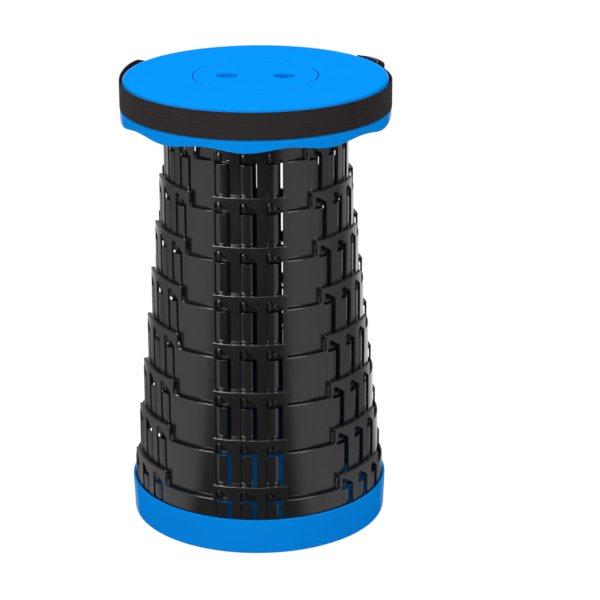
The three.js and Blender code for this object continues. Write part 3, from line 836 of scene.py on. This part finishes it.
def strapRadius(degrees):  # a bow at the left end, a little slack, and a weave through the slider
    if degrees < 0:
        return strapLying + strap["loop"] * between(strap["loopShares"], -degrees)
    standOff = strap["slack"] * math.sin(math.pi * (degrees / strap["to"]) ** strap["slackPower"]) ** 2
    run = abs(math.radians(degrees - strap["sliderAngle"])) * strapLying
    lift = sliderInner + slider["thickness"] + stool["gap"] - strapLying
    weave = min(1.0, max(0.0, (strap["weaveEnd"] - run) / (strap["weaveEnd"] - strap["flatRun"])))
    standOff *= min(1.0, max(0.0, (run - strap["weaveEnd"]) / strap["slackFade"]))
    return strapLying + standOff + lift * smoothStep(weave)


def strapPath():  # inside of the band in plan: flap on the rim, fold, then round to the right end
    flap, skew, fold = strapLying + strap["thickness"], strap["skew"], strap["foldAngle"]
    spots = [(strap["flapEnd"] - k, flap, skew) for k in range(round(strap["flapEnd"] - fold))]
    half = (strapRadius(fold) - flap) / 2
    for k in range(strap["foldSteps"] + 1):
        bend = math.pi * k / strap["foldSteps"]
        reach = min(1.0, strap["foldSquareness"] * math.sin(bend)) * strap["foldReach"]
        spots.append((fold - math.degrees(reach / strapLying), flap + half - half * math.cos(bend), skew))
    count = round((strap["to"] - fold) / strap["step"])
    for k in range(1, count + 1):
        degrees = fold + (strap["to"] - fold) * k / count
        lean = between(strap["loopShares"], -degrees) if degrees < 0 else 0
        rise = skew * max(0.0, lean * strap["skewRate"] - strap["skewDelay"])
        spots.append((degrees, strapRadius(degrees), rise))
    return spots


# webbing along spots (degrees, radius, rise), its thickness to the right of the way
def ribbon(bm, layout, spots):
    top = stool["seatTop"] - strap["drop"]
    bottom = top - strap["width"]
    section = roundedRectangle(0, strap["thickness"], bottom, top, strap["edge"], strap["edgeSteps"])
    line = [aroundAxis(radius, degrees, rise).translation for degrees, radius, rise in spots]
    rings, places, run = [], [], 0.0
    for k, spot in enumerate(line):
        along = (line[min(k + 1, len(line) - 1)] - line[max(k - 1, 0)]).normalized()
        side = Vector((along.y, -along.x)).normalized()
        run += (spot - line[max(k - 1, 0)]).length
        places.append(run)
        ring = [(spot.x + side.x * p.x, spot.y + side.y * p.x, spot.z + p.y) for p in section]
        rings.append([bm.verts.new(corner) for corner in ring])
    size = len(section)
    for k in range(len(line) - 1):
        for i in range(size):
            j = (i + 1) % size
            corners = ((k, i), (k + 1, i), (k + 1, j), (k, j))
            face = bm.faces.new([rings[row][point] for row, point in corners])
            for loop, (row, point) in zip(face.loops, corners):
                loop[layout].uv = (places[row], section[point].y - bottom + section[point].x)
    for end in (0, -1):
        face = bm.faces.new(rings[end])
        for loop, spot in zip(face.loops, section):
            loop[layout].uv = (places[end] + spot.x, spot.y - bottom)


def makeStrap():
    bm = bmesh.new()
    layout = bm.loops.layers.uv.new("UVMap")
    ribbon(bm, layout, strapPath())
    first, last = strap["tail"][0][0], strap["tail"][-1][0]
    spots = []
    for k in range(strap["tailSteps"] + 1):
        degrees = first + (last - first) * k / strap["tailSteps"]
        spots.append((degrees, between(strap["tail"], degrees), strap["tailSkew"]))
    ribbon(bm, layout, spots)
    bmesh.ops.recalc_face_normals(bm, faces=bm.faces)
    addPiece("strap_webbing", bm, "seat", webbing, ["strap"], sharp=60)


def makeSlider():
    half, past = strap["width"] / 2 + slider["railGap"], 2 * stool["overrun"]
    long, tall = slider["halfLength"], half + slider["rail"]
    plate = roundedRectangle(-long, long, -tall, tall, slider["corner"], slider["cornerSteps"])
    near, far = slider["middleBar"] / 2, long - slider["sideBar"]
    slots = []
    for left, right in ((-far, -near), (near, far)):
        slot = roundedRectangle(left, right, -half, half, slider["slotCorner"])
        slots.append(prism(slot, -past, slider["thickness"] + past))
    frameMesh = carved(prism(plate, 0, slider["thickness"]), cutters=slots, bevel=slider["edge"], segments=3)
    frameMesh.transform(facing(angleAt(strap["sliderAngle"]), sliderInner, strapMiddle) @ swapped)
    bmesh.ops.recalc_face_normals(frameMesh, faces=frameMesh.faces)
    addPiece("slider_frame", frameMesh, "seat", blackPlastic, ["strap_slider"], sharp=40)


rivet = {
    "left": -116.0,
    "inset": 2.6,  # degrees from the strap's right end
    "radius": 1.7 * mm,
    "head": 4.0 * mm,
    "height": 0.7 * mm,
    "flat": 3.0 * mm,
    "headEdge": 0.25 * mm,
    "crown": 0.8 * mm,
    "tailEdge": 0.4 * mm,
    "tailCorner": 0.2 * mm,
    "segments": 32,
}


def addRivet(side, degrees):
    radius, flat, height = rivet["radius"], rivet["flat"], rivet["height"]
    head = strapLying + strap["thickness"] + stool["gap"]
    tail = seat["radius"] - seat["wall"] - stool["gap"]
    shank = turned([
        (0, tail - height, 0), (flat, tail - height, rivet["tailEdge"]), (flat, tail, rivet["tailCorner"]),
        (radius, tail, 0), (radius, head, 0), (rivet["head"], head, rivet["headEdge"]),
        (flat, head + height, rivet["crown"]), (0, head + height, 0)], rivet["segments"])
    shank.transform(facing(angleAt(degrees), 0, strapMiddle))
    addPiece(f"rivet_{side}", shank, "seat", steel, [f"strap_rivet_{side}"], sharp=40)


makeStrap()
makeSlider()
addRivet("left", rivet["left"])
addRivet("right", strap["to"] - rivet["inset"])
print("strap made")

# Base

base = {
    "floorUnder": 1.6 * mm,
    "floorTop": 3.4 * mm,
    "foot": 0.8 * mm,
    "footWidth": 3.3 * mm,
    "footEdge": 0.3 * mm,
    "underEdge": 0.4 * mm,
    "rim": 35.6 * mm,
    "rimWall": 2.2 * mm,
    "rimEdge": 0.7 * mm,
    "rimInnerEdge": 0.5 * mm,
    "floorFillet": 0.8 * mm,
    "facets": 42,  # round the solid tray
    "taper": 1.3 * mm,
    "corner": 1.4 * mm,
    "pads": 6,
    "padCircle": 98.0 * mm,
    "padRadius": 8.8 * mm,
    "padHeight": 1.9 * mm,
    "padEdge": 0.6 * mm,
    "padTopEdge": 0.2 * mm,
    "padSegments": 40,
    "pocket": 0.6 * mm,
    "holeHeight": 6.0 * mm,
    "segments": 180,
}


def tray():
    inner = (ringRadius(8) + stool["gap"]) / math.cos(math.radians(180 / base["facets"]))
    outer = inner + base["rimWall"]
    footOut = outer - base["taper"]
    footIn = footOut - base["corner"] - base["footWidth"]
    return turned([
        (0, base["floorUnder"], 0), (footIn, base["floorUnder"], base["underEdge"]),
        (footIn, base["foot"], base["footEdge"]), (footOut, base["foot"], base["corner"]),
        (outer, base["rim"], base["rimEdge"]), (inner, base["rim"], base["rimInnerEdge"]),
        (inner, base["floorTop"], base["floorFillet"]), (0, base["floorTop"], 0)], base["segments"])


def drill(radius, height, sides):  # a round cutter that stands on the floor
    return revolved([(0, 0), (radius, 0), (radius, height), (0, height)], sides)


def makeBase():
    cutters = []
    for k in range(base["pads"]):
        wide, deep = base["padRadius"] + stool["gap"], base["floorUnder"] + base["pocket"]
        cutters.append(drill(wide, deep, base["padSegments"]))
        cutters[-1].transform(aroundAxis(base["padCircle"], k * 360 / base["pads"]))
    for degrees in stool["screwAngles"]:
        cutters.append(drill(column["screwHole"], base["holeHeight"], column["holeSides"]))
        cutters[-1].transform(aroundAxis(screwCircle(8), degrees))
    moulding = carved(tray(), cutters=cutters)
    addPiece("base_moulding", moulding, "base", bluePlastic, ["base_tray"], sharp=30)
    for k in range(base["pads"]):
        pad = turned([(0, 0, 0), (base["padRadius"], 0, base["padEdge"]),
                      (base["padRadius"], base["padHeight"], base["padTopEdge"]), (0, base["padHeight"], 0)],
                     base["padSegments"])
        pad.transform(aroundAxis(base["padCircle"], k * 360 / base["pads"]))
        addPiece(f"pad_{k + 1}", pad, "base", rubber, [f"foot_pad_{k + 1}"])


makeBase()

# Screws: pan heads with a cross recess

screw = {
    "radius": 1.4 * mm,
    "head": 3.0 * mm,
    "headHeight": 1.1 * mm,
    "headEdge": 0.7 * mm,
    "bearingEdge": 0.15 * mm,
    "tipEdge": 0.3 * mm,
    "recess": 0.6 * mm,
    "slot": 0.5 * mm,
    "slotReach": 1.5 * mm,
    "segments": 32,
}


def addScrews(name, body, distance):
    head, radius, past = screw["head"], screw["radius"], stool["overrun"]
    for k, degrees in enumerate(stool["screwAngles"]):
        low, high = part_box(f"{name}_{k + 1}")[0].z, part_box(f"{name}_{k + 1}")[1].z
        bearing = low + screw["headHeight"]
        pin = turned([(0, low, 0), (head, low, screw["headEdge"]), (head, bearing, screw["bearingEdge"]),
                      (radius, bearing, 0), (radius, high, screw["tipEdge"]), (0, high, 0)],
                     screw["segments"])
        cross = []
        for across, along in ((screw["slot"], screw["slotReach"]), (screw["slotReach"], screw["slot"])):
            cross.append(prism(rectangle(-across, across, low - past, low + screw["recess"]), -along, along))
        pin = carved(pin, cutters=cross)
        pin.transform(aroundAxis(distance, degrees))
        addPiece(f"{name}_pin_{k + 1}", pin, body, steel, [f"{name}_{k + 1}"])


addScrews("base_screw", "base", screwCircle(8))
addScrews("seat_screw", "seat", screwCircle(0))
print("base and screws made")

# Floor, light and camera

studio = {
    "floorSize": 14.0,
    "floorSquares": 8,
    "white": 1.0,
    "ambient": 0.33,
    "floorTone": 0.6,
    "floorWhite": 1.16,
    "lift": 0.82,
    # (degrees from what the front mirrors, brightness in a gloss), the two ends first
    "floorGloss": [(0, 0.02), (180, 1.2), (33, 0.03), (43, 0.9), (62, 0.9), (95, 0.5), (120, 0.2),
                   (150, 1.2)],
    "wallGloss": [(0, 0.05), (180, 0.4), (50, 0.08), (80, 0.9), (140, 0.9)],
    # name, place, size, power, whether it lights faces without gloss
    "lights": [
        ("overhead", (0.0, 0.3, 2.6), 2.4, 29.5, True),
        ("leftKey", (-1.6, -1.6, 1.7), 1.2, 23.0, True),
        ("rightKey", (1.6, -1.6, 1.7), 1.2, 18.0, True),
        ("leftGlint", (-1.5, -2.0, 1.25), 1.5, 220.0, False),
        ("rightGlint", (1.9, -1.9, 1.2), 0.8, 60.0, False),
        ("topGlint", (0.0, -1.7, 2.6), 1.0, 45.0, False),
    ],
    "aim": (0, 0, 0.22),
}
camera = {
    "distance": 2.10238,
    "height": 0.95964,
    "turn": 4.25,
    "aimHeight": 0.214134,
    "sensor": 36.0,
    "lens": 136.984,
    "shiftX": 0.0707256,
    "shiftY": 0.0,
    "roll": -0.5411,
}


def aroundStudio(tree, place, levels):  # brightness by the angle from what the stool's front mirrors
    parts = addNode(tree, "SeparateXYZ", Vector=place).outputs
    toFront = addNode(tree, "Math", {"operation": "MULTIPLY"}, i0=parts["Y"], i1=-1.0)
    turn = addNode(tree, "Math", {"operation": "ARCTAN2"}, i0=parts["X"], i1=toFront.outputs[0])
    mirrored = addNode(tree, "Math", {"operation": "ADD"}, i0=turn.outputs[0],
                       i1=math.radians(camera["turn"]))
    away = addNode(tree, "Math", {"operation": "ABSOLUTE"}, i0=mirrored.outputs[0])
    share = addNode(tree, "Math", {"operation": "DIVIDE"}, i0=away.outputs[0], i1=math.pi)
    ramp = addNode(tree, "ValToRGB", Fac=share.outputs[0])
    for k, (degrees, level) in enumerate(levels):
        stop = ramp.color_ramp.elements[k] if k < 2 else ramp.color_ramp.elements.new(degrees / 180)
        stop.position, stop.color = degrees / 180, (level, level, level, 1)
    return ramp.outputs[0]


def makeFloor():
    bm = bmesh.new()
    squares = studio["floorSquares"]
    bmesh.ops.create_grid(bm, x_segments=squares, y_segments=squares, size=studio["floorSize"])
    mesh = bpy.data.meshes.new("studioFloor")
    bm.to_mesh(mesh)
    bm.free()
    floor = bpy.data.objects.new("studioFloor", mesh)
    bpy.context.collection.objects.link(floor)
    material, tree, shader = newMaterial("studioWhite")
    shader.inputs["Base Color"].default_value = (studio["floorTone"],) * 3 + (1,)
    shader.inputs["Roughness"].default_value = 1.0
    shader.inputs["Specular IOR Level"].default_value = 0.0
    path = addNode(tree, "LightPath")
    around = aroundStudio(tree, addNode(tree, "TexCoord").outputs["Object"], studio["floorGloss"])
    level = addNode(tree, "Mix", {"data_type": "FLOAT"}, i0=path.outputs["Is Camera Ray"], i2=around,
                    i3=studio["floorWhite"])
    glow = addNode(tree, "Emission", Strength=level.outputs[0])
    share = addNode(tree, "Math", {"operation": "MULTIPLY_ADD"}, i0=path.outputs["Is Camera Ray"],
                    i1=studio["lift"], i2=path.outputs["Is Glossy Ray"])
    mixed = addNode(tree, "MixShader", i0=share.outputs[0], i1=shader.outputs[0], i2=glow.outputs[0])
    tree.links.new(mixed.outputs[0], tree.nodes["Material Output"].inputs["Surface"])
    mesh.materials.append(material)


def makeWorld():
    world = bpy.data.worlds.new("studioWorld")
    bpy.context.scene.world = world
    world.use_nodes = True
    tree = world.node_tree
    path = addNode(tree, "LightPath")
    around = aroundStudio(tree, addNode(tree, "TexCoord").outputs["Generated"], studio["wallGloss"])
    gloss = addNode(tree, "Mix", {"data_type": "FLOAT"}, i0=path.outputs["Is Glossy Ray"],
                    i2=studio["ambient"], i3=around)
    strength = addNode(tree, "Mix", {"data_type": "FLOAT"}, i0=path.outputs["Is Camera Ray"],
                       i2=gloss.outputs[0], i3=studio["white"])
    tree.links.new(strength.outputs[0], tree.nodes["Background"].inputs["Strength"])
    tree.nodes["Background"].inputs["Color"].default_value = (1, 1, 1, 1)


def makeLights():
    for name, place, size, power, lights in studio["lights"]:
        data = bpy.data.lights.new(name, "AREA")
        data.size, data.energy = size, power
        lamp = bpy.data.objects.new(name, data)
        bpy.context.collection.objects.link(lamp)
        lamp.visible_diffuse = lights  # the glints only show in glossy faces
        lamp.location = place
        lamp.rotation_euler = (Vector(studio["aim"]) - Vector(place)).to_track_quat("-Z", "Y").to_euler()


def makeCamera():
    data = bpy.data.cameras.new("photoCamera")
    data.sensor_width, data.lens = camera["sensor"], camera["lens"]
    data.shift_x, data.shift_y = camera["shiftX"], camera["shiftY"]
    view = bpy.data.objects.new("photoCamera", data)
    bpy.context.collection.objects.link(view)
    turn = math.radians(camera["turn"])
    distance = camera["distance"]
    view.location = (distance * math.sin(turn), -distance * math.cos(turn), camera["height"])
    look = (Vector((0, 0, camera["aimHeight"])) - view.location).to_track_quat("-Z", "Y").to_matrix()
    view.rotation_euler = (look @ Matrix.Rotation(math.radians(camera["roll"]), 3, "Z")).to_euler()
    bpy.context.scene.camera = view


makeFloor()
makeWorld()
makeLights()
makeCamera()
bpy.context.scene.view_settings.view_transform = "Standard"
print("studio made")
